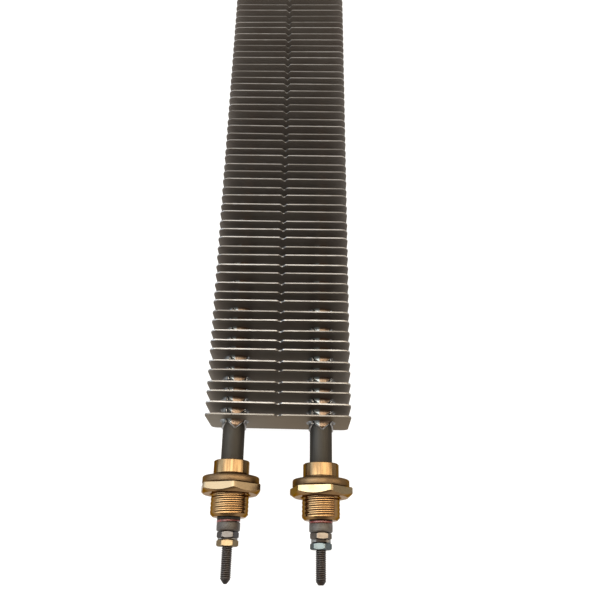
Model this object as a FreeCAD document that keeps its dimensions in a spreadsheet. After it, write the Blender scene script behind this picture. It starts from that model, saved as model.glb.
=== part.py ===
import FreeCAD, Part
import math
import os
import Sketcher

# Finned tubular heating element: a U-bent sheathed heater pushed through a stack of lanced sheet fins,
# with a threaded brass fitting, a ceramic insulator and a nutted stud on each end of the tube.
# Frame: X across the fins, Y along the legs with the terminals toward -Y, Z up from the fins' long
# bottom edges. The origin is the middle of the outline, on the surface that the fins stand on.

DIMENSIONS = (
    # sheath and what it holds
    ("tube_dia", 8.5, "outside diameter of the sheath"),
    ("tube_wall", 0.7, "wall of the sheath"),
    ("leg_spacing", 33.6, "between the axes of the two legs"),
    ("coil_dia", 3.5, "outside diameter of the heating spiral and of the cold pins"),
    ("cold_length", 62.0, "cold pin inside the sheath, from its mouth"),
    ("bend_gap", 6.0, "straight tube between the last fin and the bend"),
    # fins
    ("fin_width", 55.0, "fin across both legs"),
    ("fin_height", 24.0, "fin from its lower to its upper long edge"),
    ("fin_thick", 0.5, "sheet thickness of a fin"),
    ("fin_corner", 2.5, "rounding of a fin's corners, drawn with two straight cuts"),
    ("fin_shift", 0.45, "middle of the fins to the right of the middle between the legs"),
    ("fin_pitch", 4.2, "mean distance from fin to fin"),
    ("fin_count", 54, "number of fins"),
    ("fin_clear", 0.1, "least gap between a tab's tip and the fin in front of it"),
    ("notch_width", 3.3, "notch in the upper edge"),
    ("notch_depth", 1.5, "depth of that notch"),
    ("hole_height", 12.0, "axis of the legs above the fins' lower edge"),
    ("tab_base", 6.0, "foot of a lanced tab"),
    ("tab_height", 3.0, "how far a lanced tab stands out of its fin"),
    ("seat_gap", 0.02, "clearance round what sits on a shaft or in a bore"),
    # brass fitting and its lock nut
    ("bare_length", 14.95, "bare tube between the first fin and the left fitting"),
    ("right_offset", 0.7, "right fitting further out than the left one"),
    ("neck_dia", 13.6, "neck of the fitting"),
    ("neck_waist", 12.5, "neck at its crimped foot"),
    ("neck_length", 5.8, "length of the neck"),
    ("waist_length", 1.6, "length of the crimped foot"),
    ("flange_dia", 21.2, "flange disc"),
    ("flange_thick", 2.75, "thickness of the flange disc"),
    ("flange_edge", 0.3, "bevel of the flange's rims"),
    ("thread_dia", 14.0, "fitting's thread over its crests"),
    ("thread_mesh", 13.2, "fitting's thread and its nut where they mesh"),
    ("thread_length", 11.5, "thread from the flange to its end"),
    ("thread_bevel", 1.0, "bevel at the thread's end"),
    ("lock_flats", 21.0, "lock nut across its flats"),
    ("lock_thick", 3.5, "thickness of the lock nut"),
    # terminal
    ("tube_proud", 1.0, "sheath past the end of the left fitting"),
    ("seal_depth", 4.0, "red seal inside the mouth of the sheath"),
    ("seal_proud", 0.6, "red seal past the mouth of the sheath"),
    ("bead_dia", 8.6, "insulator bead and the seal's rim"),
    ("bead_length", 3.25, "length of the insulator bead"),
    ("bead_edge", 0.5, "bevel of the bead's rims"),
    ("stud_dia", 3.9, "threaded stud over its crests"),
    ("stud_mesh", 3.55, "stud's thread and its nuts where they mesh"),
    ("stud_length", 17.35, "threaded stud from the bead to its tip"),
    ("tip_length", 1.6, "taper at the tip of the stud"),
    ("tip_dia", 1.6, "blunt end of the stud"),
    ("nut_flats", 7.0, "terminal nut across its flats"),
    ("nut_thick", 2.3, "thickness of a terminal nut"),
    ("washer_dia", 7.2, "washers on the studs"),
    ("plain_washer", 0.5, "thickness of the plain washer"),
    ("spring_washer", 1.2, "thickness of the spring washer"),
    ("spring_slit", 0.5, "gap in the spring washer"),
)

# How far each fin strays from its even place, first fin first
FIN_STRAYS = (
    0.0, 0.2, 0.4, 0.0, 0.55, -0.1, 0.55, 0.1, 0.0,
    0.35, -0.05, 0.4, -0.1, -0.1, 0.25, -0.1, 0.3, 0.05,
    0.4, 0.2, 0.0, 0.65, 0.15, 0.6, 0.25, 0.8, 0.7,
    0.35, 0.95, 0.45, 1.05, 0.6, 0.95, 0.75, 1.2, 1.05,
    1.2, 1.15, 1.2, 0.95, 0.8, 1.05, 1.35, 1.05, 0.9,
    0.6, 0.5, 0.7, 0.15, 0.1, 0.3, -0.1, 0.25, 0.0,
)

TERMINAL_TURN = FreeCAD.Rotation(FreeCAD.Vector(0, 0, 1), 180)
SIDES = (("left", "-"), ("right", ""))
NUT_BEVEL_DEGREES = 30.0
NUT_FACE_SHARE = 0.475
NUT_REACH_SHARE = 0.64
ARC_SAG_SHARE = 0.293

doc = FreeCAD.newDocument("finned_heating_element")
sheet = doc.addObject("Spreadsheet::Sheet", "Sheet")
sheet.Label = "dimensions"
for row, (alias, value, meaning) in enumerate(DIMENSIONS, start=1):
    sheet.set(f"A{row}", alias)
    sheet.set(f"B{row}", str(value))
    sheet.set(f"C{row}", meaning)
    sheet.setAlias(f"B{row}", alias)
for row, stray in enumerate(FIN_STRAYS, start=1):
    sheet.set(f"E{row}", str(stray))
    sheet.setAlias(f"E{row}", f"fin_stray_{row}")
doc.recompute()


def size(alias):
    return float(sheet.get(alias))


def total(*aliases):
    """An expression that adds up cells of the sheet."""
    return " + ".join(f"Sheet.{alias}" for alias in aliases)


# Distances from the first fin's front face toward the terminals
NECK_START = {"left": total("bare_length"), "right": total("bare_length", "right_offset")}
TUBE_MOUTH = total("bare_length", "neck_length", "flange_thick", "thread_length", "tube_proud")
BEAD_START = f"{TUBE_MOUTH} + Sheet.seal_proud"
BEAD_END = f"{BEAD_START} + Sheet.bead_length"
WASHERS = {"left": "Sheet.plain_washer", "right": "Sheet.spring_washer"}

# The outline runs from the studs' tips to the back of the bend. Its middle is the origin.
STACK_LENGTH = "(Sheet.fin_count - 1) * Sheet.fin_pitch + Sheet.fin_thick"
LEG_END = f"({STACK_LENGTH} + Sheet.bend_gap)"
REACH_BACK = f"({LEG_END} + Sheet.leg_spacing / 2 + Sheet.tube_dia / 2)"
REACH_FRONT = f"({BEAD_END} + Sheet.stud_length)"
FRONT_FACE = f"({REACH_FRONT} - {REACH_BACK}) / 2"


def origin_plane(body, role):
    return next(item for item in body.Origin.OriginFeatures if item.Role == role)


def new_body(label):
    body = doc.addObject("PartDesign::Body", label)
    body.Label = label
    return body


def new_sketch(body, name, role, offset=None):
    sketch = body.newObject("Sketcher::SketchObject", f"{body.Label}_{name}")
    sketch.AttachmentSupport = [(origin_plane(body, role), "")]
    sketch.MapMode = "FlatFace"
    for axis, expression in (offset or {}).items():
        sketch.setExpression(f"AttachmentOffset.Base.{axis}", expression)
    return sketch


def bind(sketch, constraint, expression):
    index = sketch.addConstraint(constraint)
    sketch.renameConstraint(index, f"dim{index}")
    sketch.setExpression(f"Constraints.dim{index}", expression)
    return index


def value_of(expression):
    """The number that an expression gives with the sheet's present values."""
    return float(sheet.evalExpression(expression))


def closed_outline(sketch, corners):
    """Straight sides through corners, each an (x, y) pair of expressions bound to the sheet."""
    points = [FreeCAD.Vector(value_of(x), value_of(y), 0) for x, y in corners]
    last = len(points)
    for index in range(last):
        sketch.addGeometry(Part.LineSegment(points[index], points[(index + 1) % last]), False)
    for index in range(last):
        sketch.addConstraint(Sketcher.Constraint("Coincident", index, 2, (index + 1) % last, 1))
    for index, (x, y) in enumerate(corners):
        place_point(sketch, index, 1, x, y)


def place_point(sketch, geometry, end, x, y):
    for kind, expression, axis in (("DistanceX", x, -2), ("DistanceY", y, -1)):
        if expression == "0":
            sketch.addConstraint(Sketcher.Constraint("PointOnObject", geometry, end, axis))
            continue
        constraint = Sketcher.Constraint(kind, -1, 1, geometry, end, value_of(expression))
        bind(sketch, constraint, expression)


def circle(sketch, x, y, diameter):
    """A circle whose centre and diameter are bound to the sheet."""
    centre = FreeCAD.Vector(value_of(x), value_of(y), 0)
    index = sketch.addGeometry(
        Part.Circle(centre, FreeCAD.Vector(0, 0, 1), value_of(diameter) / 2), False)
    place_point(sketch, index, 3, x, y)
    bind(sketch, Sketcher.Constraint("Diameter", index, value_of(diameter)), diameter)


def place(body, side, distance):
    """Put a terminal piece on its leg, at a distance in front of the first fin, facing the tip."""
    body.Placement = FreeCAD.Placement(FreeCAD.Vector(), TERMINAL_TURN)
    sign = dict(SIDES)[side]
    body.setExpression("Placement.Base.x", f"{sign}Sheet.leg_spacing / 2")
    body.setExpression("Placement.Base.y", f"{FRONT_FACE} - ({distance})")
    body.setExpression("Placement.Base.z", "Sheet.hole_height")


def turned(label, corners):
    """A turned piece: its half section, as (radius, distance) pairs, spun about the leg's axis."""
    body = new_body(label)
    sketch = new_sketch(body, "section", "XY_Plane")
    closed_outline(sketch, corners)
    spin = body.newObject("PartDesign::Revolution", f"{label}_spin")
    spin.Profile = sketch
    spin.ReferenceAxis = (sketch, ["V_Axis"])
    spin.Angle = 360
    return body


def u_pipe(label, outside, bore, start):
    """A round section carried down one leg, round the bend and back up the other leg."""
    body = new_body(label)
    spine = new_sketch(body, "path", "XY_Plane")
    half = "Sheet.leg_spacing / 2"
    length = f"{TUBE_MOUTH} + {LEG_END} - ({start})"
    near = value_of(half)
    far = value_of(length)
    spine.addGeometry(Part.LineSegment(FreeCAD.Vector(-near, 0, 0), FreeCAD.Vector(-near, far, 0)), False)
    arc = Part.ArcOfCircle(
        Part.Circle(FreeCAD.Vector(0, far, 0), FreeCAD.Vector(0, 0, 1), near), 0, math.pi)
    spine.addGeometry(arc, False)
    spine.addGeometry(Part.LineSegment(FreeCAD.Vector(near, far, 0), FreeCAD.Vector(near, 0, 0)), False)
    spine.addConstraint(Sketcher.Constraint("Coincident", 0, 2, 1, 2))
    spine.addConstraint(Sketcher.Constraint("Coincident", 1, 1, 2, 1))
    place_point(spine, 0, 1, f"-{half}", "0")
    place_point(spine, 2, 2, half, "0")
    place_point(spine, 1, 3, "0", length)
    place_point(spine, 0, 2, f"-{half}", length)
    bend_end = Sketcher.Constraint("DistanceY", -1, 1, 2, 1, far)
    bind(spine, bend_end, length)
    section = new_sketch(body, "section", "XZ_Plane")
    circle(section, f"-{half}", "0", outside)
    if bore:
        circle(section, f"-{half}", "0", bore)
    pipe = body.newObject("PartDesign::AdditivePipe", f"{label}_pipe")
    pipe.Profile = section
    pipe.Spine = spine
    body.setExpression("Placement.Base.y", f"{FRONT_FACE} - ({TUBE_MOUTH}) + ({start})")
    body.setExpression("Placement.Base.z", "Sheet.hole_height")
    return body


def hexagon(sketch, flats, turn_degrees):
    """A regular hexagon about the sketch's origin, bound across its flats and held at its turn."""
    across = value_of(flats)
    radius = across / math.sqrt(3)
    angles = [math.radians(turn_degrees + 60 * step) for step in range(6)]
    points = [FreeCAD.Vector(radius * math.cos(a), radius * math.sin(a), 0) for a in angles]
    for index in range(6):
        sketch.addGeometry(Part.LineSegment(points[index], points[(index + 1) % 6]), False)
    for index in range(6):
        sketch.addConstraint(Sketcher.Constraint("Coincident", index, 2, (index + 1) % 6, 1))
    for index, angle in enumerate(angles):
        x = f"({flats}) / sqrt(3) * {math.cos(angle):.9f}"
        y = f"({flats}) / sqrt(3) * {math.sin(angle):.9f}"
        place_point(sketch, index, 1, x, y)


def hex_nut(label, flats, thick, bore, turn_degrees, both_faces=True):
    """A hexagon nut with a plain bore and its corners turned off at thirty degrees on one face or both.

    The turned-off cone starts inside the flats' distance and ends outside the corners.
    """
    body = new_body(label)
    outline = new_sketch(body, "hexagon", "XZ_Plane")
    hexagon(outline, flats, turn_degrees)
    circle(outline, "0", "0", bore)
    block = body.newObject("PartDesign::Pad", f"{label}_block")
    block.Profile = outline
    block.setExpression("Length", thick)
    block.Reversed = True
    slope = f"tan({NUT_BEVEL_DEGREES})"
    inner = f"{NUT_FACE_SHARE} * ({flats})"
    outer = f"{NUT_REACH_SHARE} * ({flats})"
    drop = f"({outer} - {inner}) * {slope}"
    faces = (("outer", thick, f"({thick}) - {drop}"), ("inner", "0", drop))
    for name, level, foot in faces if both_faces else faces[:1]:
        cutter = new_sketch(body, f"{name}_bevel", "XY_Plane")
        closed_outline(cutter, ((inner, level), (outer, level), (outer, foot)))
        groove = body.newObject("PartDesign::Groove", f"{label}_{name}_turned")
        groove.Profile = cutter
        groove.ReferenceAxis = (cutter, ["V_Axis"])
        groove.Angle = 360
    return body


def fin_body():
    """One fin: a sheet with rounded corners, a notched upper edge and two holes with lanced tabs.

    The sheet and its notch are drawn about their own middle, which lies to the right of the legs' middle.
    """
    body = new_body("fin")
    side = "Sheet.fin_width / 2"
    top = "Sheet.fin_height"
    corner = "Sheet.fin_corner"
    notch = "Sheet.notch_width / 2"
    cut = f"{ARC_SAG_SHARE} * {corner}"
    outline = new_sketch(body, "outline", "XZ_Plane", {"x": "Sheet.fin_shift"})
    right = (
        (f"{side} - {corner}", "0"),
        (f"{side} - {cut}", cut),
        (side, corner),
        (side, f"{top} - {corner}"),
        (f"{side} - {cut}", f"{top} - {cut}"),
        (f"{side} - {corner}", top),
        (notch, top),
        (f"{notch} / 2", f"{top} - Sheet.notch_depth"),
    )
    left = tuple((f"-({x})", y) for x, y in reversed(right))
    closed_outline(outline, right + left)
    plate = body.newObject("PartDesign::Pad", "fin_plate")
    plate.Profile = outline
    plate.setExpression("Length", "Sheet.fin_thick")
    plate.Reversed = True
    flat = "(Sheet.tube_dia / 2 + Sheet.seat_gap)"
    foot = "Sheet.tab_base / 2"
    hole_corners = ((flat, foot), (foot, flat), (f"-{foot}", flat), (f"-{flat}", foot),
                    (f"-{flat}", f"-{foot}"), (f"-{foot}", f"-{flat}"), (foot, f"-{flat}"), (flat, f"-{foot}"))
    for name, sign in SIDES:
        centre = f"{sign}Sheet.leg_spacing / 2"
        hole = new_sketch(body, f"{name}_hole", "XZ_Plane", {"x": centre, "y": "Sheet.hole_height"})
        closed_outline(hole, hole_corners)
        pocket = body.newObject("PartDesign::Pocket", f"fin_{name}_hole_cut")
        pocket.Profile = hole
        pocket.Type = "ThroughAll"
        pocket.Midplane = True
        tab = new_sketch(body, f"{name}_tab", "XY_Plane",
                         {"x": centre, "z": f"Sheet.hole_height + {flat}"})
        closed_outline(tab, ((foot, "0"), (f"-{foot}", "0"), ("0", "-Sheet.tab_height")))
        pad = body.newObject("PartDesign::Pad", f"fin_{name}_tab_sheet")
        pad.Profile = tab
        pad.setExpression("Length", "Sheet.fin_thick")
        ring = body.newObject("PartDesign::PolarPattern", f"fin_{name}_tabs")
        ring.Originals = [pad]
        ring.Axis = (hole, ["N_Axis"])
        ring.Angle = 360
        ring.Occurrences = 4
        body.Tip = ring
        doc.recompute()
    return body


def fin_places():
    """Where each fin's front face lies behind the first one: even steps with a small stray.

    A fin never comes closer to the one in front of it than its own tabs allow. The last fin does not stray.
    """
    step = size("fin_pitch")
    least = size("fin_thick") + size("tab_height") + size("fin_clear")
    last = int(size("fin_count")) - 1
    places = [0.0]
    for index in range(1, last):
        stray = size(f"fin_stray_{index % len(FIN_STRAYS) + 1}")
        places.append(max(index * step + stray, places[-1] + least))
    places.append(last * step)
    return places


def fin_stack(fin):
    """All the fins, each a solid of its own."""
    front = value_of(FRONT_FACE)
    copies = []
    for place_behind in fin_places():
        copy = fin.Shape.copy()
        copy.translate(FreeCAD.Vector(0, front + place_behind, 0))
        copies.append(copy.Solids[0])
    stack = doc.addObject("Part::Feature", "fin_stack")
    stack.Label = "fin_stack"
    stack.Shape = Part.Compound(copies)
    return stack


def fitting(label):
    """Brass bush: a crimped neck, a flange disc and a thread, turned in one piece.

    Under the lock nut the thread is as wide as where the two threads mesh, and past it as its crests.
    """
    bore = "Sheet.tube_dia / 2 + Sheet.seat_gap"
    neck = "Sheet.neck_dia / 2"
    waist = "Sheet.neck_waist / 2"
    rim = "Sheet.flange_dia / 2"
    crest = "Sheet.thread_dia / 2"
    mesh = "Sheet.thread_mesh / 2"
    edge = "Sheet.flange_edge"
    back = "Sheet.neck_length"
    face = "Sheet.neck_length + Sheet.flange_thick"
    end = f"{face} + Sheet.thread_length"
    return turned(label, (
        (bore, "0"),
        (f"{neck} - {edge}", "0"),
        (neck, edge),
        (neck, f"{back} - Sheet.waist_length"),
        (waist, f"{back} - Sheet.waist_length / 2"),
        (waist, back),
        (f"{rim} - {edge}", back),
        (rim, f"{back} + {edge}"),
        (rim, f"{face} - {edge}"),
        (f"{rim} - {edge}", face),
        (mesh, face),
        (mesh, f"{face} + Sheet.lock_thick"),
        (crest, f"{face} + Sheet.lock_thick"),
        (crest, f"{end} - Sheet.thread_bevel"),
        (f"{crest} - Sheet.thread_bevel", end),
        (bore, end),
    ))


def terminal_pin(label, washer_thick):
    """Cold pin inside the sheath and threaded stud outside, one rod.

    Under the nuts the stud is as wide as where the threads mesh, and past them as its crests.
    """
    rod = "Sheet.coil_dia / 2"
    crest = "Sheet.stud_dia / 2"
    inner = "-(Sheet.cold_length)"
    mesh = "Sheet.stud_mesh / 2"
    shoulder = "Sheet.seal_proud + Sheet.bead_length"
    nutted = f"{shoulder} + 2 * Sheet.nut_thick + {washer_thick}"
    tip = f"{shoulder} + Sheet.stud_length"
    return turned(label, (
        ("0", inner),
        (rod, inner),
        (rod, shoulder),
        (mesh, shoulder),
        (mesh, nutted),
        (crest, nutted),
        (crest, f"{tip} - Sheet.tip_length"),
        ("Sheet.tip_dia / 2", tip),
        ("0", tip),
    ))


def end_seal(label):
    """Red seal: a plug in the mouth of the sheath with a thin rim over the tube's end."""
    hole = "Sheet.coil_dia / 2 + Sheet.seat_gap"
    plug = "Sheet.tube_dia / 2 - Sheet.tube_wall - Sheet.seat_gap"
    rim = "Sheet.bead_dia / 2"
    return turned(label, (
        (hole, "-(Sheet.seal_depth)"),
        (plug, "-(Sheet.seal_depth)"),
        (plug, "0"),
        (rim, "0"),
        (rim, "Sheet.seal_proud"),
        (hole, "Sheet.seal_proud"),
    ))


def insulator(label):
    """Ceramic bead with bevelled rims round the pin."""
    hole = "Sheet.coil_dia / 2 + Sheet.seat_gap"
    rim = "Sheet.bead_dia / 2"
    edge = "Sheet.bead_edge"
    return turned(label, (
        (hole, "0"),
        (f"{rim} - {edge}", "0"),
        (rim, edge),
        (rim, f"Sheet.bead_length - {edge}"),
        (f"{rim} - {edge}", "Sheet.bead_length"),
        (hole, "Sheet.bead_length"),
    ))


def washer(label, thick):
    hole = "Sheet.stud_dia / 2 + Sheet.seat_gap"
    rim = "Sheet.washer_dia / 2"
    return turned(label, ((hole, "0"), (rim, "0"), (rim, thick), (hole, thick)))


def split_washer(label, thick):
    """Spring washer: a ring with a straight slit through one side."""
    body = washer(label, thick)
    half = "Sheet.spring_slit / 2"
    slit = new_sketch(body, "slit", "XY_Plane")
    closed_outline(slit, (
        (f"-{half}", f"-({thick})"),
        (half, f"-({thick})"),
        (half, f"2 * {thick}"),
        (f"-{half}", f"2 * {thick}"),
    ))
    cut = body.newObject("PartDesign::Pocket", f"{label}_slit_cut")
    cut.Profile = slit
    cut.setExpression("Length", "Sheet.washer_dia")
    return body


def terminal(side, lock_turn, nut_turns):
    """All that one leg carries in front of the fins."""
    stud_bore = "Sheet.stud_mesh + 2 * Sheet.seat_gap"
    washer_thick = WASHERS[side]
    neck_start = NECK_START[side]
    flange_face = f"{neck_start} + Sheet.neck_length + Sheet.flange_thick"
    first_nut = f"({BEAD_END})"
    ring = f"({BEAD_END} + Sheet.nut_thick)"
    second_nut = f"({BEAD_END} + Sheet.nut_thick + {washer_thick})"
    make_washer = split_washer if side == "right" else washer
    ring_name = "spring_washer" if side == "right" else "plain_washer"
    pieces = (
        (fitting(f"{side}_fitting"), neck_start),
        (hex_nut(f"{side}_lock_nut", "Sheet.lock_flats", "Sheet.lock_thick",
                 "Sheet.thread_mesh + 2 * Sheet.seat_gap", lock_turn, both_faces=False), flange_face),
        (terminal_pin(f"{side}_terminal_pin", washer_thick), TUBE_MOUTH),
        (end_seal(f"{side}_end_seal"), TUBE_MOUTH),
        (insulator(f"{side}_insulator"), BEAD_START),
        (hex_nut(f"{side}_inner_nut", "Sheet.nut_flats", "Sheet.nut_thick", stud_bore, nut_turns[0]),
         first_nut),
        (make_washer(f"{side}_{ring_name}", washer_thick), ring),
        (hex_nut(f"{side}_outer_nut", "Sheet.nut_flats", "Sheet.nut_thick", stud_bore, nut_turns[1]),
         second_nut),
    )
    for body, distance in pieces:
        place(body, side, distance)
    return [body for body, distance in pieces]


bore = "Sheet.tube_dia - 2 * Sheet.tube_wall"
sub_parts = [
    u_pipe("sheath", "Sheet.tube_dia", bore, "0"),
    u_pipe("magnesia_fill", f"{bore} - 2 * Sheet.seat_gap", "Sheet.coil_dia + 2 * Sheet.seat_gap",
           "Sheet.seal_depth"),
    u_pipe("resistance_coil", "Sheet.coil_dia", None, "Sheet.cold_length"),
]
sub_parts += terminal("left", 41.5, (3.0, 4.0))
sub_parts += terminal("right", 45.2, (7.5, 49.3))
fin = fin_body()
doc.recompute()
sub_parts.append(fin_stack(fin))
doc.recompute()

faults = [item.Name for item in doc.Objects if {"Invalid", "Error"} & set(item.State)]
faults += [item.Label for item in sub_parts if item.Shape.isNull() or not item.Shape.isValid()]
if faults:
    raise RuntimeError("these did not build: " + ", ".join(faults))

os.makedirs("parts", exist_ok=True)
for item in sub_parts:
    item.Shape.exportStep(os.path.join("parts", item.Label + ".step"))
    box = item.Shape.BoundBox
    print(item.Label, len(item.Shape.Solids), round(item.Shape.Volume, 3),
          [round(value, 3) for value in (box.XMin, box.YMin, box.ZMin, box.XMax, box.YMax, box.ZMax)])
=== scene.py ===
"""Finned tubular heating element: fins, sheath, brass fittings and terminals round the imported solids."""

import math
import random

import bpy
from mathutils import Euler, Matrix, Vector
from mathutils.geometry import delaunay_2d_cdt


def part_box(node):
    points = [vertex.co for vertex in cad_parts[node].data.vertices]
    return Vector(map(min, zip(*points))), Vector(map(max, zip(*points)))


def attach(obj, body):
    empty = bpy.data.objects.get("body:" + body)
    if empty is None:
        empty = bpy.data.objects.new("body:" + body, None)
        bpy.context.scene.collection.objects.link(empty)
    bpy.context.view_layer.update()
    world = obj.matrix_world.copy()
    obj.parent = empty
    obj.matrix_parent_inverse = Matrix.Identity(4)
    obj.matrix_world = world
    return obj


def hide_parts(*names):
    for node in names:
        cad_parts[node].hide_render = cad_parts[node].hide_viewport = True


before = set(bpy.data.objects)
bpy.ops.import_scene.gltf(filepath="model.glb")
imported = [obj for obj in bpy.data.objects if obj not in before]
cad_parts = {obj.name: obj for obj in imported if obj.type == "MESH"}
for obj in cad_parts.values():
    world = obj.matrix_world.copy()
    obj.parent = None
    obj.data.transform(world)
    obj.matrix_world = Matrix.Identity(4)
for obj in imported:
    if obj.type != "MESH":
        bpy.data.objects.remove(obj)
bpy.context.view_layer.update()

# Sizes are in millimetres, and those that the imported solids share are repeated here
MM = 0.001
LEG = 16.8
AXIS_HEIGHT = 12.0
SIDES = {"left": -1, "right": 1}
NECK_LENGTH = 5.8
FLANGE_THICK = 2.75
THREAD_LENGTH = 11.5
LOCK_THICK = 3.5
SMALL_NUT_THICK = 2.3
BEAD_LENGTH = 3.25
STUD_LENGTH = 17.35
TUBE_RADIUS = 4.25
TUBE_BORE = 3.55
TUBE_MOUTH = 4.1


# Finishes

class Wire:
    """One socket of a finish. Sums and products on it add the maths nodes."""

    def __init__(self, finish, socket):
        self.finish = finish
        self.socket = socket

    def maths(self, operation, first, second=0.0):
        return self.finish.maths(operation, first, second)

    def __add__(self, other):
        return self.maths("ADD", self, other)

    def __radd__(self, other):
        return self.maths("ADD", other, self)

    def __sub__(self, other):
        return self.maths("SUBTRACT", self, other)

    def __rsub__(self, other):
        return self.maths("SUBTRACT", other, self)

    def __mul__(self, other):
        return self.maths("MULTIPLY", self, other)

    def __rmul__(self, other):
        return self.maths("MULTIPLY", other, self)

    def held(self):
        """The value kept between nought and one."""
        return self.maths("MINIMUM", self.maths("MAXIMUM", self), 1.0)

    def between(self, start, end):
        """Nought below start, one above end, a soft step in between."""
        return self.finish.node("ShaderNodeMapRange", {"interpolation_type": "SMOOTHSTEP"},
                                {"Value": self, "From Min": start, "From Max": end})


class Finish:
    """A material: a principled surface and the nodes that feed it."""

    def __init__(self, name, **constants):
        self.material = bpy.data.materials.new(name)
        self.material.use_nodes = True
        self.tree = self.material.node_tree
        self.tree.nodes.clear()
        self.surface = self.tree.nodes.new("ShaderNodeBsdfPrincipled")
        output = self.tree.nodes.new("ShaderNodeOutputMaterial")
        self.tree.links.new(self.surface.outputs[0], output.inputs["Surface"])
        self.spot = self.node("ShaderNodeVectorMath", {"operation": "SCALE"}, {
            0: self.node("ShaderNodeTexCoord", output="Object"), "Scale": 1 / MM})
        self.give(**constants)

    def node(self, kind, settings=None, inputs=None, output=0):
        """Add a node: its settings first, then the values or links of its sockets."""
        made = self.tree.nodes.new(kind)
        for name, value in (settings or {}).items():
            setattr(made, name, value)
        for socket, value in (inputs or {}).items():
            self.feed(made.inputs[socket], value)
        return Wire(self, made.outputs[output])

    def feed(self, socket, value):
        if isinstance(value, Wire):
            self.tree.links.new(value.socket, socket)
        elif isinstance(value, tuple) and len(value) == 3 and socket.type == "RGBA":
            socket.default_value = value + (1.0,)
        else:
            socket.default_value = value

    def give(self, **sockets):
        """Feed the surface: base_color feeds its socket Base Color, and so on."""
        for name, value in sockets.items():
            title = " ".join(word.capitalize() for word in name.split("_"))
            self.feed(self.surface.inputs[title.replace("Ior", "IOR")], value)

    def stretched(self, x, y, z):
        """Places in millimetres, drawn out along the axes with the small factors."""
        return self.node("ShaderNodeVectorMath", {"operation": "MULTIPLY"}, {0: self.spot, 1: (x, y, z)})

    def noise(self, scale, stretch=(1.0, 1.0, 1.0), detail=3.0, roughness=0.55):
        return self.node("ShaderNodeTexNoise", {}, {
            "Vector": self.stretched(*stretch), "Scale": scale, "Detail": detail, "Roughness": roughness})

    def axis(self, name):
        """One coordinate in millimetres."""
        return self.node("ShaderNodeSeparateXYZ", {}, {0: self.spot}, output=name)

    def leg_radius(self):
        """How far a place is from the axis of its leg, in millimetres."""
        across = self.maths("ABSOLUTE", self.axis("X")) - LEG
        spot = self.node("ShaderNodeCombineXYZ", {}, {0: across, 2: self.axis("Z") - AXIS_HEIGHT})
        return self.node("ShaderNodeVectorMath", {"operation": "LENGTH"}, {0: spot}, output="Value")

    def maths(self, operation, first, second=0.0):
        return self.node("ShaderNodeMath", {"operation": operation}, {0: first, 1: second})

    def mix(self, factor, first, second):
        return self.node("ShaderNodeMix", {"data_type": "RGBA"}, {0: factor, 6: first, 7: second}, output=2)

    def bump(self, height, strength, distance=0.05):
        return self.node("ShaderNodeBump", {}, {
            "Height": height, "Strength": strength, "Distance": distance * MM})


def worked_brass(name, clean, dull, gloss, dullness, dirt_start=0.45, grain=(0.15, 9.0, 0.15),
                 drift=(1.0, 1.4, 1.0)):
    """Brass off the lathe or the mill: fine tool marks, clean patches and duller, stained ones.

    The grooves of the bare thread are painted darker, as painted shade.
    """
    finish = Finish(name, metallic=1.0, specular_tint=(0.52, 0.39, 0.27))
    stain = finish.noise(0.22, drift, 4.0).between(dirt_start, dirt_start + 0.3)
    rings = finish.noise(1.0, grain, 2.0)
    pits = finish.noise(2.6, detail=2.0).between(0.62, 0.75)
    colour = finish.mix(stain, clean, dull)
    # Painted shade in the grooves of the bare thread, beyond the nut.
    in_groove = 1.0 - finish.leg_radius().between(6.70, 6.98)
    past_nut = 1.0 - finish.axis("Y").between(-122.0, -121.0)
    grime = in_groove * past_nut
    finish.give(
        base_color=finish.mix(pits * 0.3 + grime * 0.12, colour, tuple(0.4 * part for part in dull)),
        roughness=gloss + stain * dullness + rings * 0.05,
        normal=finish.bump(rings + pits * -0.6, 0.04, 0.03))
    return finish.material


def sheath_finish():
    finish = Finish("heat_darkened_sheath", metallic=0.8, specular_tint=(0.5, 0.45, 0.4))
    streaks = finish.noise(1.0, (1.6, 0.06, 1.6), 3.0)
    clouds = finish.noise(0.09, (1.0, 0.5, 1.0), 4.0).between(0.35, 0.7)
    colour = finish.mix(clouds, (0.032, 0.031, 0.030), (0.031, 0.027, 0.023))
    finish.give(
        base_color=finish.mix(streaks.between(0.5, 0.75) * 0.4, colour, (0.048, 0.043, 0.037)),
        roughness=0.46 + clouds * 0.1 + streaks * 0.08,
        normal=finish.bump(streaks, 0.06, 0.02))
    return finish.material


def fin_finish():
    """Rolled sheet browned by heat. The first fin is painted darker and browner as painted shade, most of
    all on its right.
    """
    finish = Finish("browned_fin_sheet", metallic=0.45, specular_ior_level=0.12,
                    specular_tint=(0.82, 0.70, 0.54))
    rolled = finish.noise(1.0, (0.05, 0.4, 1.3), 3.0)
    clouds = finish.noise(0.05, (1.0, 0.8, 1.0), 3.0).between(0.35, 0.68)
    sheet = finish.mix(clouds, (0.198, 0.180, 0.168), (0.172, 0.150, 0.138))
    # Painted shade on the first fin: darker and browner, grading darker towards its right.
    first_fin_painted_shade = finish.mix(finish.axis("X").between(-26.0, 10.0),
                         (0.152, 0.136, 0.115), (0.102, 0.072, 0.043))
    colour = finish.mix(finish.axis("Y").between(-95.5, -94.0), first_fin_painted_shade, sheet)
    finish.give(
        base_color=finish.mix(rolled.between(0.52, 0.78) * 0.3, colour, (0.205, 0.185, 0.166)),
        roughness=0.42 + rolled * 0.12,
        normal=finish.bump(rolled, 0.1, 0.03))
    return finish.material


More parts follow.
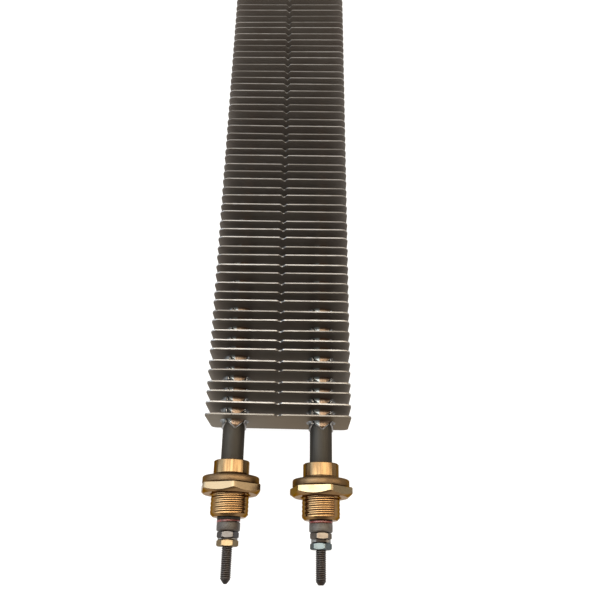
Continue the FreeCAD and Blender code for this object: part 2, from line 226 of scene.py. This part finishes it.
def sheared_finish():
    """Bright torn metal on the cut edges, duller where it is worn, with painted shade on the fins near the
    terminals.
    """
    finish = Finish("sheared_fin_edge", metallic=1.0)
    torn = finish.noise(1.0, (0.22, 0.5, 0.3), 3.0)
    worn = finish.noise(1.0, (0.012, 0.26, 0.05), 2.0).between(0.35, 0.65)
    # Painted shade: the edges of the fins near the terminals are darkened along with the wear, and the
    # petal edges close to the tube are left bright.
    near = 1.0 - finish.axis("Y").between(-97.0, -25.0)
    rim = finish.leg_radius().between(5.8, 7.0)
    bright = finish.mix(torn.between(0.4, 0.65), (0.520, 0.520, 0.540), (0.360, 0.355, 0.360))
    finish.give(
        base_color=finish.mix((worn * 0.75 + near * 0.65).held() * rim, bright, (0.150, 0.143, 0.140)),
        roughness=0.36 + torn * 0.15,
        normal=finish.bump(torn, 0.15, 0.04))
    return finish.material


def petal_finish():
    """Drawn metal of the petals: tan on top with painted shade underneath, and a painted cool reflection
    that makes them paler on the left of each tube.
    """
    finish = Finish("drawn_fin_petal", metallic=0.7)
    drawn = finish.noise(1.0, (2.0, 0.3, 2.0), 2.0)
    # Painted shade: the petals are dark low down and tan on top.
    upper = finish.axis("Z").between(13.5, 16.0)
    across = finish.axis("X") - finish.maths("SIGN", finish.axis("X")) * LEG
    tan = finish.mix(drawn.between(0.4, 0.7), (0.185, 0.128, 0.092), (0.125, 0.090, 0.068))
    # Painted reflection: pale and cool on the left of each tube.
    bright = finish.mix(across.between(-0.3, -1.2), tan, (0.30, 0.335, 0.36))
    finish.give(
        base_color=finish.mix(upper, (0.042, 0.036, 0.031), bright),
        roughness=0.3 + drawn * 0.14,
        normal=finish.bump(drawn, 0.08, 0.03))
    return finish.material


def stud_finish():
    finish = Finish("dark_stud_steel", metallic=1.0)
    rust = finish.noise(0.8, detail=4.0).between(0.5, 0.72)
    grime = finish.noise(3.0, detail=2.0)
    # Crests lighter, partly wear and partly painted highlight; the grooves and plain shank darker as
    # painted shade.
    worn = finish.leg_radius().between(1.80, 1.93)
    colour = finish.mix(worn, (0.050, 0.045, 0.044), (0.118, 0.106, 0.104))
    finish.give(
        base_color=finish.mix(rust * 0.6, colour, (0.070, 0.045, 0.032)),
        roughness=0.42 + grime * 0.16,
        normal=finish.bump(grime, 0.1, 0.03))
    return finish.material


def plated_finish(name, light, dark):
    finish = Finish(name, metallic=1.0, specular_tint=(0.5, 0.48, 0.45))
    cloud = finish.noise(0.7, detail=3.0).between(0.35, 0.7)
    fine = finish.noise(5.0, detail=2.0)
    finish.give(
        base_color=finish.mix(cloud, light, dark),
        roughness=0.24 + fine * 0.14,
        normal=finish.bump(fine, 0.08, 0.02))
    return finish.material


def washer_finish():
    """Dull steel, painted dark across the top as painted shade."""
    finish = Finish("dull_washer_steel", metallic=1.0)
    fine = finish.noise(2.4, detail=3.0)
    # Painted shade: the top of each washer is dark and its sides pale.
    top_painted_shade = (finish.axis("Z") + fine * 0.8).between(14.9, 15.7)
    finish.give(
        base_color=finish.mix(top_painted_shade, (0.21, 0.205, 0.20), (0.022, 0.018, 0.016)),
        roughness=0.38 + fine * 0.15,
        normal=finish.bump(fine, 0.12, 0.03))
    return finish.material


def bead_finish(side, clean):
    """Fired ceramic, greyed by handling, with a brown bloom and a few pinholes."""
    finish = Finish(f"{side}_soiled_ceramic", metallic=0.0, specular_ior_level=0.4)
    soil = finish.noise(0.55, detail=4.0).between(0.35, 0.62)
    pores = finish.noise(4.0, detail=2.0).between(0.6, 0.72)
    colour = finish.mix(soil, clean, (0.030, 0.022, 0.018))
    finish.give(
        base_color=finish.mix(pores * 0.5, colour, (0.035, 0.028, 0.023)),
        roughness=0.45 + pores * 0.2,
        normal=finish.bump(soil * 0.6 - pores, 0.25, 0.05))
    return finish.material


def seal_finish():
    finish = Finish("red_sealing_compound", metallic=0.0, specular_ior_level=0.4)
    smear = finish.noise(1.1, detail=3.0).between(0.4, 0.7)
    finish.give(
        base_color=finish.mix(smear, (0.15, 0.022, 0.020), (0.07, 0.018, 0.015)),
        roughness=0.3 + smear * 0.2,
        normal=finish.bump(smear, 0.25, 0.06))
    return finish.material


def plain_finish(name, light, dark, roughness, metallic):
    """For what lies inside the sheath, out of sight."""
    finish = Finish(name, metallic=metallic)
    grain = finish.noise(3.0, detail=3.0)
    finish.give(
        base_color=finish.mix(grain, light, dark),
        roughness=roughness + grain * 0.1,
        normal=finish.bump(grain, 0.15, 0.04))
    return finish.material


# Shapes

class Shape:
    """Collects a mesh in millimetres, then makes it a piece that rides on the part."""

    def __init__(self):
        self.points = []
        self.faces = []
        self.finishes = []
        self.rounded = []

    def point(self, x, y, z):
        self.points.append((x * MM, y * MM, z * MM))
        return len(self.points) - 1

    def face(self, corners, finish=0, rounded=True):
        self.faces.append(tuple(corners))
        self.finishes.append(finish)
        self.rounded.append(rounded)

    def strip(self, first, second, finish=0, rounded=True, closed=True):
        """Quads between two rows of points."""
        count = len(first)
        for index in range(count if closed else count - 1):
            after = (index + 1) % count
            self.face((first[index], first[after], second[after], second[index]), finish, rounded)

    def piece(self, name, nodes, materials, sharp_degrees=None):
        mesh = bpy.data.meshes.new(name)
        mesh.from_pydata(self.points, [], self.faces)
        for polygon, finish, rounded in zip(mesh.polygons, self.finishes, self.rounded):
            polygon.material_index = finish
            polygon.use_smooth = rounded
        for material in materials:
            mesh.materials.append(material)
        mesh.validate()
        if sharp_degrees:
            mesh.set_sharp_from_angle(angle=math.radians(sharp_degrees))
        made = bpy.data.objects.new(name, mesh)
        bpy.context.scene.collection.objects.link(made)
        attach(made, "root")
        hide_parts(*nodes)
        return made


def spin(shape, side, base, rings, around=72, closed=True, first_angle=0.0, finish_at=None):
    """Rings about a leg's axis: each is (reach toward the stud's tip, radius).

    Reach and radius may be functions of the angle, which runs from straight up toward the right.
    The band that starts at a reach gets the finish that finish_at gives for it.
    """
    rows = []
    for reach, radius in rings:
        row = []
        for step in range(around):
            angle = first_angle + 2 * math.pi * step / around
            out = radius(angle) if callable(radius) else radius
            along = reach(angle) if callable(reach) else reach
            row.append(shape.point(SIDES[side] * LEG + out * math.sin(angle), base - along,
                                   AXIS_HEIGHT + out * math.cos(angle)))
        rows.append(row)
    for number, (first, second) in enumerate(zip(rows, rows[1:] + rows[:1] if closed else rows[1:])):
        shape.strip(first, second, finish_at(rings[number][0]) if finish_at else 0)
    if not closed:
        shape.face(reversed(rows[0]), rounded=False)
        shape.face(rows[-1], rounded=False)
    return rows


def node_start(node):
    """Where a CAD node starts on its leg, in millimetres: the end nearest the fins."""
    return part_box(node)[1].y / MM


def rounded_rim(centre_reach, centre_radius, size, start_degrees, end_degrees, steps=4):
    """Points of a small quarter round, as (reach, radius) pairs."""
    rim = []
    for step in range(steps + 1):
        turn = math.radians(start_degrees + (end_degrees - start_degrees) * step / steps)
        rim.append((centre_reach - size * math.cos(turn), centre_radius + size * math.sin(turn)))
    return rim


def thread_rings(start, end, crest, depth, pitch, flank, turn_in, steps, limit):
    """Rings of a single-start thread, flat between its grooves, whose flanks fill a share of the pitch.

    The grooves deepen over turn_in, and limit gives the radius that a bevel or a taper allows at a reach.
    """
    count = int(round((end - start) / pitch * steps))
    rings = []
    for index in range(count + 1):
        reach = start + (end - start) * index / count
        fade = min(1.0, (reach - start) / turn_in)

        def radius(angle, reach=reach, fade=fade):
            phase = (reach / pitch + angle / (2 * math.pi)) % 1.0
            valley = abs(phase - 0.5) * 2
            groove = 0.5 + 0.5 * math.cos(math.pi * min(valley / flank, 1.0))
            return min(crest - depth * groove * fade, limit(reach))

        rings.append((reach, radius))
    return rings


FIN_HALF = 27.5
FIN_TALL = 24.0
FIN_THICK = 0.5
FIN_CORNER = 2.6
NOTCH_HALF = 1.65
NOTCH_DEEP = 1.5
HOLE_RADIUS = 5.67
TUBE_SEAT = 4.27
BEND = 0.9
PETAL_TALL = 3.5
PETAL_SLANT = 0.085
PETAL_HALF_DEGREES = 40.0
HOLE_STEPS = 36
# Points inside a sheet, across it and up it, that let it bow
BOW_COLUMNS = range(-4, 5)
BOW_COLUMN_STEP = 5.8
BOW_HEIGHTS = (6.0, 12.0, 18.0)
BOW_HOLE_MARGIN = 1.2
PETAL_TURN = {"left": 12.0, "right": 5.0}
# How far the fins are turned about the upright: the number of a fin, and its turn in radians
FIN_TURNS = ((0, -0.012), (3, -0.007), (10, -0.003), (38, -0.003), (46, 0.009), (53, 0.009))
FIN_TURN_SPREAD = 0.0035
# How far any fin may lean, in radians, and bow, in millimetres, with the length of the bow's wave
FIN_LEAN = 0.004
FIN_BOW = 0.10
BOW_WAVE = 11.0
# How far the first fin is tipped about its upper edge, in radians
FRONT_TIP = -0.024


def fin_turn(number):
    """How far a fin is turned, in even steps between the fins whose turn is given."""
    for (start, first), (end, second) in zip(FIN_TURNS, FIN_TURNS[1:]):
        if number <= end:
            return first + (second - first) * (number - start) / (end - start)
    return FIN_TURNS[-1][1]


def fin_outline():
    """Outline of a fin about its own middle, as (x, height) pairs, going round once."""
    line = []

    def run(start, end, steps):
        for step in range(steps):
            share = step / steps
            line.append((start[0] + (end[0] - start[0]) * share, start[1] + (end[1] - start[1]) * share))

    def corner(x, z, start):
        for step in range(6):
            turn = math.radians(start + 90 * step / 6)
            line.append((x + FIN_CORNER * math.cos(turn), z + FIN_CORNER * math.sin(turn)))

    inner = FIN_HALF - FIN_CORNER
    low = FIN_CORNER
    high = FIN_TALL - FIN_CORNER
    run((-inner, 0), (inner, 0), 12)
    corner(inner, low, -90)
    run((FIN_HALF, low), (FIN_HALF, high), 4)
    corner(inner, high, 0)
    run((inner, FIN_TALL), (NOTCH_HALF, FIN_TALL), 6)
    for step in range(10):
        x = NOTCH_HALF * (1 - step / 5)
        line.append((x, FIN_TALL - NOTCH_DEEP * 0.5 * (1 + math.cos(math.pi * x / NOTCH_HALF))))
    run((-NOTCH_HALF, FIN_TALL), (-inner, FIN_TALL), 6)
    corner(-inner, high, 90)
    run((-FIN_HALF, high), (-FIN_HALF, low), 4)
    corner(-inner, low, 180)
    return line


def sheet_triangles(outline, holes, hole_centres):
    """Triangles of the flat sheet, with a few points inside so that it can bow."""
    flat = list(outline)
    edges = [(index, (index + 1) % len(outline)) for index in range(len(outline))]
    for hole in holes:
        start = len(flat)
        flat += hole
        edges += [(start + index, start + (index + 1) % len(hole)) for index in range(len(hole))]
    for column in BOW_COLUMNS:
        x = column * BOW_COLUMN_STEP
        for height in BOW_HEIGHTS:
            if all(math.hypot(x - cx, height - cz) > HOLE_RADIUS + BOW_HOLE_MARGIN
                   for cx, cz in hole_centres):
                flat.append((x, height))
    only_inside, tolerance = 1, 1e-5
    sheet = delaunay_2d_cdt([Vector(p) for p in flat], edges, [], only_inside, tolerance)
    points, triangles = sheet[0], sheet[2]
    kept = []
    for triangle in triangles:
        x = sum(points[index].x for index in triangle) / 3
        z = sum(points[index].y for index in triangle) / 3
        if all(math.hypot(x - cx, z - cz) > HOLE_RADIUS * 0.99 for cx, cz in hole_centres):
            kept.append(triangle)
    return [(p.x, p.y) for p in points], kept


def fin_stack():
    """Every fin of the stack: a browned sheet, bright sheared edges and four drawn petals at each hole."""
    low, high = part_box("fin_stack")
    middle = (low.x + high.x) / 2 / MM
    levels = sorted({round(v.co.y / MM, 3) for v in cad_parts["fin_stack"].data.vertices
                     if v.co.z < 0.01 * MM})
    fronts = levels[::2]
    centres = [(sign * LEG - middle, AXIS_HEIGHT) for sign in SIDES.values()]
    holes = []
    for side, (cx, cz) in zip(SIDES, centres):
        ring = []
        for step in range(HOLE_STEPS):
            angle = math.radians(PETAL_TURN[side] - PETAL_HALF_DEGREES + 360 * step / HOLE_STEPS)
            ring.append((cx + HOLE_RADIUS * math.sin(angle), cz + HOLE_RADIUS * math.cos(angle)))
        holes.append(ring)
    outline = fin_outline()
    flat, triangles = sheet_triangles(outline, holes, centres)
    shape = Shape()
    luck = random.Random(54)
    for number, front in enumerate(fronts):
        tip = 0.0 if number else FRONT_TIP
        yaw = fin_turn(number) + FIN_TURN_SPREAD * luck.uniform(-1.0, 1.0)
        one_fin(shape, luck, middle, front, yaw, tip, outline, flat, triangles, centres)
    return shape.piece("fins", ["fin_stack"],
                       [fin_finish(), sheared_finish(), petal_finish()])


def one_fin(shape, luck, middle, front, yaw, tip, outline, flat, triangles, centres):
    """A fin turned by yaw about the upright and tipped about its upper edge, with its own lean and bow."""
    lean = luck.uniform(-FIN_LEAN, FIN_LEAN)
    bow = luck.uniform(-FIN_BOW, FIN_BOW)
    phase = luck.uniform(0, 6.28)
    last = len(outline)

    def put(x, y, z):
        wave = bow * (math.sin(x / BOW_WAVE + phase) - math.sin(phase)) * 0.6
        sway = yaw * x + lean * (z - AXIS_HEIGHT) + tip * (z - FIN_TALL) + wave
        return shape.point(middle + x, front + y + sway, z)

    fore = [put(x, 0.0, z) for x, z in flat]
    back = [put(x, FIN_THICK, z) for x, z in flat]
    for a, b, c in triangles:
        shape.face((fore[a], fore[b], fore[c]), 0, False)
        shape.face((back[c], back[b], back[a]), 0, False)
    shape.strip(back[:last], fore[:last], 1, False)
    for number, (cx, cz) in enumerate(centres):
        side = list(SIDES)[number]
        start = last + number * HOLE_STEPS
        rim_fore = fore[start:start + HOLE_STEPS]
        rim_back = back[start:start + HOLE_STEPS]
        per_petal = HOLE_STEPS // 4
        for petal in range(4):
            first = petal * per_petal
            picked = [(first + step) % HOLE_STEPS for step in range(per_petal)]
            gap = picked[-1]
            after = (gap + 1) % HOLE_STEPS
            shape.face((rim_fore[gap], rim_fore[after], rim_back[after], rim_back[gap]), 1, False)
            tall = PETAL_TALL * luck.uniform(0.93, 1.0)
            facing = math.radians(PETAL_TURN[side] + 90 * petal)
            outer = [[rim_fore[index] for index in picked]]
            inner = [[rim_back[index] for index in picked]]
            for radius_out, radius_in, depth_out, depth_in, half_out, half_in in petal_rows(tall):
                rows = ([], [])
                for step in range(per_petal):
                    share = 2 * step / (per_petal - 1) - 1
                    for row, radius, depth, half in ((rows[0], radius_out, depth_out, half_out),
                                                     (rows[1], radius_in, depth_in, half_in)):
                        angle = facing + half * share
                        row.append(put(cx + radius * math.sin(angle), depth, cz + radius * math.cos(angle)))
                outer.append(rows[0])
                inner.append(rows[1])
            for one, two in zip(outer, outer[1:]):
                shape.strip(two, one, 2, True, closed=False)
            for one, two in zip(inner, inner[1:]):
                shape.strip(one, two, 2, True, closed=False)
            for out_low, out_high, in_low, in_high in zip(outer, outer[1:], inner, inner[1:]):
                shape.face((out_low[0], out_high[0], in_high[0], in_low[0]), 1, False)
                shape.face((in_low[-1], in_high[-1], out_high[-1], out_low[-1]), 1, False)
            shape.strip(outer[-1], inner[-1], 1, False, closed=False)


def petal_rows(tall):
    """Rows from a petal's foot to its tip: radius, depth and half angle of its outer and its inner face."""
    rows = []
    half = math.radians(PETAL_HALF_DEGREES)
    for degrees in (30, 60, 90):
        turn = math.radians(degrees)
        rows.append((HOLE_RADIUS - BEND * math.sin(turn), HOLE_RADIUS - (BEND + FIN_THICK) * math.sin(turn),
                     -BEND + BEND * math.cos(turn), -BEND + (BEND + FIN_THICK) * math.cos(turn),
                     half - PETAL_SLANT * degrees / 90, half))
    out = HOLE_RADIUS - BEND
    for share in (0.5, 1.0):
        depth = -BEND - (tall - BEND) * share
        inner_half = half * (1 - 0.92 * share)
        outer_half = max(inner_half - PETAL_SLANT, 0.01)
        rows.append((out, TUBE_SEAT, depth + 0.35 * share, depth, outer_half, inner_half))
    return rows


def sheath():
    """The bent tube, a little narrower at its two mouths."""
    low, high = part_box("sheath")
    mouth = low.y / MM
    bend = high.y / MM - LEG - TUBE_RADIUS
    path = [((-LEG, mouth + offset), (0, 1)) for offset in (0.0, 0.2, 40.0, 120.0)]
    steps = 40
    for step in range(steps + 1):
        turn = math.pi * (1 - step / steps)
        spot = (LEG * math.cos(turn), bend + LEG * math.sin(turn))
        path.append((spot, (math.sin(turn), -math.cos(turn))))
    path += [((LEG, mouth + offset), (0, -1)) for offset in (120.0, 40.0, 0.2, 0.0)]
    shape = Shape()
    around = 56

    def ring(spot, heading, radius):
        row = []
        for step in range(around):
            angle = 2 * math.pi * step / around
            across = radius * math.sin(angle)
            row.append(shape.point(spot[0] + across * heading[1], spot[1] - across * heading[0],
                                   AXIS_HEIGHT + radius * math.cos(angle)))
        return row

    outer = [ring(spot, heading, TUBE_RADIUS if 0 < index < len(path) - 1 else TUBE_MOUTH)
             for index, (spot, heading) in enumerate(path)]
    inner = [ring(spot, heading, TUBE_BORE) for spot, heading in path]
    for one, two in zip(outer, outer[1:]):
        shape.strip(one, two)
    for one, two in zip(inner, inner[1:]):
        shape.strip(two, one)
    shape.strip(inner[0], outer[0], rounded=False)
    shape.strip(outer[-1], inner[-1], rounded=False)
    return shape.piece("sheath_tube", ["sheath"], [sheath_finish()], 40)


def fitting(side, materials):
    """Neck crimped to twelve flats with the marks of the dies between them, flange disc and real thread."""
    base = node_start(f"{side}_fitting")
    bore = TUBE_SEAT
    foot = 6.5 if side == "left" else 6.72
    facing = math.radians(-33 if side == "left" else -15)
    flange = NECK_LENGTH
    face = flange + FLANGE_THICK
    end = face + THREAD_LENGTH
    nutted = face + LOCK_THICK

    half_flat = math.pi / 12
    mark_depth = 0.14

    def bevel(reach):
        return 6.0 + end - reach

    def pressed(radius):
        def flat(angle):
            off = (angle - facing + half_flat) % (2 * half_flat) - half_flat
            mark = mark_depth if abs(off) > half_flat - 0.01 else 0.0
            return radius * math.cos(half_flat) / math.cos(off) - mark
        return flat

    rings = [(0.0, bore)]
    rings += [(reach, pressed(radius)) for reach, radius in (
        (0.0, 6.66), (0.1, 6.79), (0.14, 6.8), (0.3, 6.8), (4.6, 6.8), (4.8, 6.79), (4.86, 6.76),
        (5.2, foot + 0.03), (5.26, foot), (flange - 0.25, foot), (flange - 0.1, foot + 0.04),
        (flange, foot + 0.2))]
    rings += [(flange + 0.02, 10.1), (flange + 0.1, 10.4), (flange + 0.35, 10.58), (flange + 1.2, 10.6),
              (face - 0.4, 10.6), (face - 0.12, 10.5), (face, 10.3), (face, 7.2), (face + 0.02, 6.3),
              (nutted - 0.3, 6.3)]
    rings += thread_rings(nutted - 0.25, end - 0.02, 7.0, 0.12, 1.5, 1.0, 0.05, 12, bevel)
    rings += [(end, 5.9), (end, bore)]
    shape = Shape()
    spin(shape, side, base, rings, 96, first_angle=facing,
         finish_at=lambda reach: 2 if reach < 4.85 else 1 if reach < nutted - 0.4 else 0)
    return shape.piece(f"{side}_brass_fitting", [f"{side}_fitting"], materials, 42)


def hexagon_nut(side, name, materials, flats, thick, bore, corner_degrees, both_faces=True):
    """A hexagon nut whose turned-off corners leave arcs on its flats, on the stud side or on both.

    The nut with one turned side has a second material there, and the first on its flats.
    """
    flat_share = 0.492 if both_faces else 0.475
    base = node_start(f"{side}_{name}")
    corner = math.radians(corner_degrees)
    blunted = 0.985
    widest = flats / math.sqrt(3) * blunted

    def edge(angle):
        turn = (angle - corner) % (math.pi / 3) - math.pi / 6
        return min(flats / 2 / math.cos(turn), widest)

    def drop(angle):
        return (edge(angle) - flat_share * flats) * math.tan(math.radians(30)) + 0.02

    ease = 0.012 * flats
    lip = 0.05 * flats
    rings = [(lip, bore), (0.0, bore + lip)]
    if both_faces:
        rings += [(0.0, flat_share * flats), (lambda a: drop(a) - ease * 0.2, lambda a: edge(a) - ease),
                  (lambda a: drop(a) + ease, edge)]
    else:
        rings += [(0.0, lambda a: edge(a) - ease), (ease, edge)]
    rings += [(lambda a: thick - drop(a) - ease, edge),
              (lambda a: thick - drop(a) + ease * 0.2, lambda a: edge(a) - ease),
              (thick, flat_share * flats), (thick, bore + lip), (thick - lip, bore)]
    shape = Shape()
    spin(shape, side, base, rings, 96, first_angle=corner,
         finish_at=lambda reach: 0 if both_faces or reach == ease else 1)
    return shape.piece(f"{side}_{name}_hexagon", [f"{side}_{name}"], materials, 24)


def stud(side, material):
    """Cold pin inside the sheath, plain under the nuts, then the bare thread with its worn tip."""
    low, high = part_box(f"{side}_terminal_pin")
    base = high.y / MM
    end = (high.y - low.y) / MM
    tip = 0.42 if side == "left" else 0.85
    taper = 1.9 if side == "left" else 1.5
    shoulder = end - STUD_LENGTH
    nutted = node_start(f"{side}_outer_nut") - SMALL_NUT_THICK
    bare = base - nutted
    pin, plain, crest = 1.75, 1.7, 1.95

    def pointed(reach):
        left = max(end - reach, 0.0) / taper
        return tip + (crest - tip) * min(1.0, left ** 0.8)

    rings = [(0.0, pin), (shoulder, pin), (shoulder + 0.1, plain), (bare - 0.3, plain)]
    rings += thread_rings(bare - 0.25, end, crest, 0.32, 0.7, 0.9, 0.1, 8, pointed)
    shape = Shape()
    spin(shape, side, base, rings, 40, closed=False)
    return shape.piece(f"{side}_threaded_stud", [f"{side}_terminal_pin"], [material], 50)


def wavy(seed, size):
    """A smooth closed wave round a ring, a few times up and down."""
    luck = random.Random(seed)
    parts = [(count, luck.uniform(0, 6.28), luck.uniform(0.4, 1.0) / count) for count in (1, 2, 3, 5)]
    return lambda angle: size * sum(share * math.sin(count * angle + phase)
                                    for count, phase, share in parts)


def bead(side, material):
    """Ceramic insulator bead, pressed by hand and never quite round."""
    base = node_start(f"{side}_insulator")
    length = BEAD_LENGTH
    lump = wavy(3 if side == "left" else 8, 0.035)
    profile = [(0.0, 1.78), (0.0, 3.7)] + rounded_rim(0.5, 3.8, 0.5, 0, 90)[1:]
    profile += [(1.6, 4.32)] + rounded_rim(length - 0.6, 3.7, 0.6, 90, 180)
    profile += [(length, 1.78)]
    rings = []
    for reach, radius in profile:
        swell = 0.0 if radius < 3.0 else 1.0
        rings.append((reach, lambda a, r=radius, s=swell: min(r + s * (lump(a) - 0.02), 4.35)))
    shape = Shape()
    spin(shape, side, base, rings, 64)
    return shape.piece(f"{side}_ceramic_bead", [f"{side}_insulator"], [material], 35)


def seal(side, material):
    """Red compound squeezed out between the mouth of the sheath and the bead."""
    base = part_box(f"{side}_end_seal")[0].y / MM + 0.6
    slant = 0.32 if side == "left" else 0.06
    edge = wavy(11 if side == "left" else 14, 0.07)

    def front(angle):
        return max(0.62 - slant * math.sin(angle) + edge(angle), 0.3)

    def skin(angle):
        return 4.3 + 0.05 * math.sin(3 * angle + 1)

    rings = [(-4.0, 1.79), (-4.0, 3.5), (0.02, 3.5), (0.0, lambda a: skin(a) - 0.12), (0.12, skin),
             (lambda a: front(a) - 0.1, lambda a: skin(a) + 0.02),
             (lambda a: front(a) + 0.06, lambda a: skin(a) - 0.15),
             (lambda a: min(front(a), 0.58), 3.4), (0.56, 1.79)]
    shape = Shape()
    spin(shape, side, base, rings, 64)
    return shape.piece(f"{side}_red_seal", [f"{side}_end_seal"], [material], 40)


def plain_washer(material):
    base = node_start("left_plain_washer")
    rings = [(0.0, 1.97), (0.0, 3.52), (0.06, 3.6), (0.44, 3.6), (0.5, 3.52), (0.5, 1.97)]
    shape = Shape()
    spin(shape, "left", base, rings, 64)
    return shape.piece("left_flat_washer", ["left_plain_washer"], [material], 35)


def spring_washer(material):
    """A coil of square wire, cut through once, pressed nearly flat."""
    base = node_start("right_spring_washer")
    shape = Shape()
    steps = 60
    slit = math.radians(5)
    rise_per_turn = 0.12
    section = ((0.08, 1.99), (0.08, 3.45), (0.2, 3.58), (1.0, 3.58), (1.12, 3.45), (1.12, 1.99))
    rows = []
    for step in range(steps + 1):
        share = step / steps
        angle = math.pi + slit + (2 * math.pi - 2 * slit) * share
        rise = rise_per_turn * (share - 0.5)
        row = []
        for reach, radius in section:
            row.append(shape.point(LEG + radius * math.sin(angle), base - reach - rise,
                                   AXIS_HEIGHT + radius * math.cos(angle)))
        rows.append(row)
    for one, two in zip(rows, rows[1:]):
        shape.strip(two, one)
    shape.face(rows[0], rounded=False)
    shape.face(reversed(rows[-1]), rounded=False)
    return shape.piece("right_spring_ring", ["right_spring_washer"], [material], 35)


# The pieces and their finishes

brass = worked_brass("turned_brass", (0.200, 0.121, 0.058), (0.155, 0.091, 0.043), 0.12, 0.06)
flange_brass = worked_brass("tarnished_brass", (0.122, 0.080, 0.044), (0.090, 0.058, 0.034), 0.38, 0.14,
                            0.4)
neck_brass = worked_brass("crimped_brass", (0.124, 0.084, 0.045), (0.088, 0.055, 0.028), 0.16, 0.08, 0.35,
                          (2.5, 0.15, 2.5), (3.2, 0.35, 3.2))
MILLED_BRASS = {
    side: worked_brass(f"{side}_milled_brass", clean, dull, 0.17, 0.08, 0.5, (3.0, 0.25, 3.0))
    for side, clean, dull in (("left", (0.106, 0.083, 0.056), (0.084, 0.062, 0.038)),
                              ("right", (0.165, 0.130, 0.082), (0.132, 0.098, 0.056)))}
PLATING = {
    ("left", "inner_nut"): plated_finish("grey_zinc_plate", (0.080, 0.077, 0.080), (0.065, 0.061, 0.062)),
    ("left", "outer_nut"): plated_finish("yellow_zinc_plate", (0.190, 0.146, 0.090), (0.150, 0.112, 0.070)),
    ("right", "inner_nut"): plated_finish("worn_zinc_plate", (0.132, 0.116, 0.104), (0.100, 0.085, 0.076)),
    ("right", "outer_nut"): plated_finish("blue_zinc_plate", (0.086, 0.106, 0.116), (0.070, 0.084, 0.090))}
stud_steel = stud_finish()
CERAMIC = {
    "left": bead_finish("left", (0.037, 0.031, 0.028)),
    "right": bead_finish("right", (0.060, 0.055, 0.051))}
compound = seal_finish()
dull_steel = washer_finish()
HIDDEN = {
    "magnesia_fill": plain_finish("packed_magnesia", (0.80, 0.79, 0.75), (0.7, 0.69, 0.66), 0.85, 0.0),
    "resistance_coil": plain_finish("coil_wire", (0.42, 0.41, 0.39), (0.3, 0.29, 0.28), 0.4, 1.0)}

# How the nuts are turned, in degrees: a corner of each lock nut, a flat of each inner and outer nut
LOCK_CORNERS = {"left": 11.5, "right": 15.2}
SMALL_FLATS = {"left": (3.0, 4.0), "right": (7.5, -10.7)}
LOCK_FLATS = 21.0
LOCK_BORE = 6.62
SMALL_NUT_FLATS = 7.0
SMALL_NUT_BORE = 1.8

fin_stack()
sheath()
for side in SIDES:
    fitting(side, [brass, flange_brass, neck_brass])
    hexagon_nut(side, "lock_nut", [MILLED_BRASS[side], brass], LOCK_FLATS, LOCK_THICK,
                LOCK_BORE, LOCK_CORNERS[side], both_faces=False)
    stud(side, stud_steel)
    seal(side, compound)
    bead(side, CERAMIC[side])
    for name, facing in zip(("inner_nut", "outer_nut"), SMALL_FLATS[side]):
        hexagon_nut(side, name, [PLATING[side, name]], SMALL_NUT_FLATS, SMALL_NUT_THICK,
                    SMALL_NUT_BORE, facing + 30.0)
plain_washer(dull_steel)
spring_washer(dull_steel)
for node, material in HIDDEN.items():
    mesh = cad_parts[node].data
    mesh.materials.clear()
    mesh.materials.append(material)


# Studio

def floor():
    """A pale floor just under the part, white round it and fading further out."""
    half = 2.5
    level = -0.0002
    mesh = bpy.data.meshes.new("studio_floor")
    corners = ((-half, -half), (half, -half), (half, half), (-half, half))
    mesh.from_pydata([(x, y, level) for x, y in corners], [], [(0, 1, 2, 3)])
    finish = Finish("studio_white", roughness=0.9, metallic=0.0, specular_ior_level=0.0,
                    emission_strength=0.96)
    away = finish.node("ShaderNodeVectorMath", {"operation": "LENGTH"},
                       {0: finish.stretched(1.0, 1.0, 0.0)}, "Value")
    edge = away.between(215.0, 420.0)
    finish.give(
        base_color=finish.mix(edge, (0.16, 0.16, 0.16), (0.30, 0.285, 0.265)),
        emission_color=finish.mix(edge, (1.0, 1.0, 1.0), (0.44, 0.405, 0.355)))
    mesh.materials.append(finish.material)
    made = bpy.data.objects.new("studio_floor", mesh)
    bpy.context.scene.collection.objects.link(made)


def panel(name, spot, width, length, watts, colour):
    """A soft rectangular light that faces the middle of the part."""
    light = bpy.data.lights.new(name, "AREA")
    light.shape = "RECTANGLE"
    light.size = width
    light.size_y = length
    light.energy = watts
    light.color = colour
    made = bpy.data.objects.new(name, light)
    made.location = spot
    made.rotation_euler = (Vector((0.0, 0.0, 0.0)) - Vector(spot)).to_track_quat("-Z", "Y").to_euler()
    bpy.context.scene.collection.objects.link(made)


# Each light's name, place and size in metres, watts and colour
PANELS = (
    ("cool_panel_high", (-0.411, 0.0, 0.566), 0.27, 1.3, 3.1, (0.80, 0.92, 1.0)),
    ("cool_panel_low", (-0.553, 0.0, 0.234), 0.40, 1.3, 3.2, (0.78, 0.90, 1.0)),
    ("warm_strip_near", (-0.02, 0.0, 0.75), 0.19, 2.6, 8.4, (1.0, 0.88, 0.68)),
    ("warm_strip_far", (0.33, 0.0, 0.69), 0.20, 2.6, 8.0, (1.0, 0.84, 0.60)),
    ("warm_panel_middle", (0.48, 0.0, 0.50), 0.24, 1.3, 0.45, (1.0, 0.74, 0.46)),
    ("warm_panel_low", (0.62, 0.0, 0.17), 0.34, 1.3, 0.3, (1.0, 0.62, 0.34)),
)

floor()
for light in PANELS:
    panel(*light)
world = bpy.data.worlds.new("studio_air")
world.use_nodes = True
air = world.node_tree.nodes["Background"].inputs
air["Color"].default_value = (1.0, 0.90, 0.78, 1.0)
air["Strength"].default_value = 0.42
bpy.context.scene.world = world

camera_data = bpy.data.cameras.new("photo_camera")
camera_data.lens = 37.869
camera_data.sensor_width = 36.0
camera = bpy.data.objects.new("photo_camera", camera_data)
camera.location = (0.0101, -0.15616, 0.25418)
camera.rotation_euler = Euler((math.radians(24.916), math.radians(0.14), math.radians(0.767)), "XYZ")
bpy.context.scene.collection.objects.link(camera)
bpy.context.scene.camera = camera
bpy.context.scene.view_settings.view_transform = "Standard"
